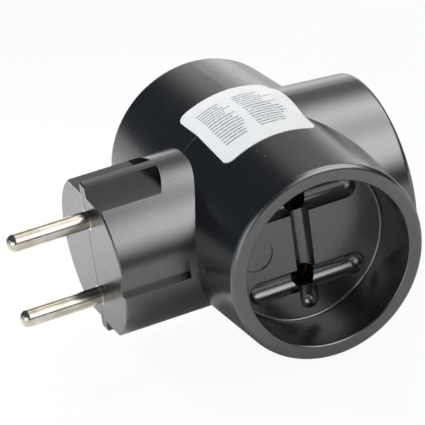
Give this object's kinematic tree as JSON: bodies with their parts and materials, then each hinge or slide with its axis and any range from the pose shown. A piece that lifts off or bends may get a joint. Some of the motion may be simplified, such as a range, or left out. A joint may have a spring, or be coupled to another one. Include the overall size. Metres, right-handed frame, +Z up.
{
  "type": "three-outlet plug adapter",
  "caption": "Black moulded plug adapter in the shape of a cross: round pins at one end, a recessed round outlet opposite them and one on each side.",
  "frame": {"origin": "centre of the pin face, which bears on the wall socket", "axes": "+X along the plug's axis from the pins to the end outlet, side outlets facing -Y and +Y, +Z up through the label"},
  "size_m": [0.0881, 0.0694, 0.0499],
  "materials": {
    "black_moulding": "satin",
    "nickel_plate": "polished",
    "brass_strip": "stamped",
    "spring_steel": "blued",
    "label_film": "matt"
  },
  "bodies": {
    "root": {"housing_front": "black_moulding", "housing_rear": "black_moulding", "end_socket_face": "black_moulding", "plug_pin_upper": "nickel_plate", "bus_bar_upper": "brass_strip", "clip_front_upper": "brass_strip", "spring_front_upper": "spring_steel", "clip_rear_upper": "brass_strip", "spring_rear_upper": "spring_steel", "clip_end_upper": "brass_strip", "spring_end_upper": "spring_steel", "plug_pin_lower": "nickel_plate", "bus_bar_lower": "brass_strip", "clip_front_lower": "brass_strip", "spring_front_lower": "spring_steel", "clip_rear_lower": "brass_strip", "spring_rear_lower": "spring_steel", "clip_end_lower": "brass_strip", "spring_end_lower": "spring_steel", "contact_rivets": "brass_strip", "rating_label": "label_film"}
  },
  "joints": []
}
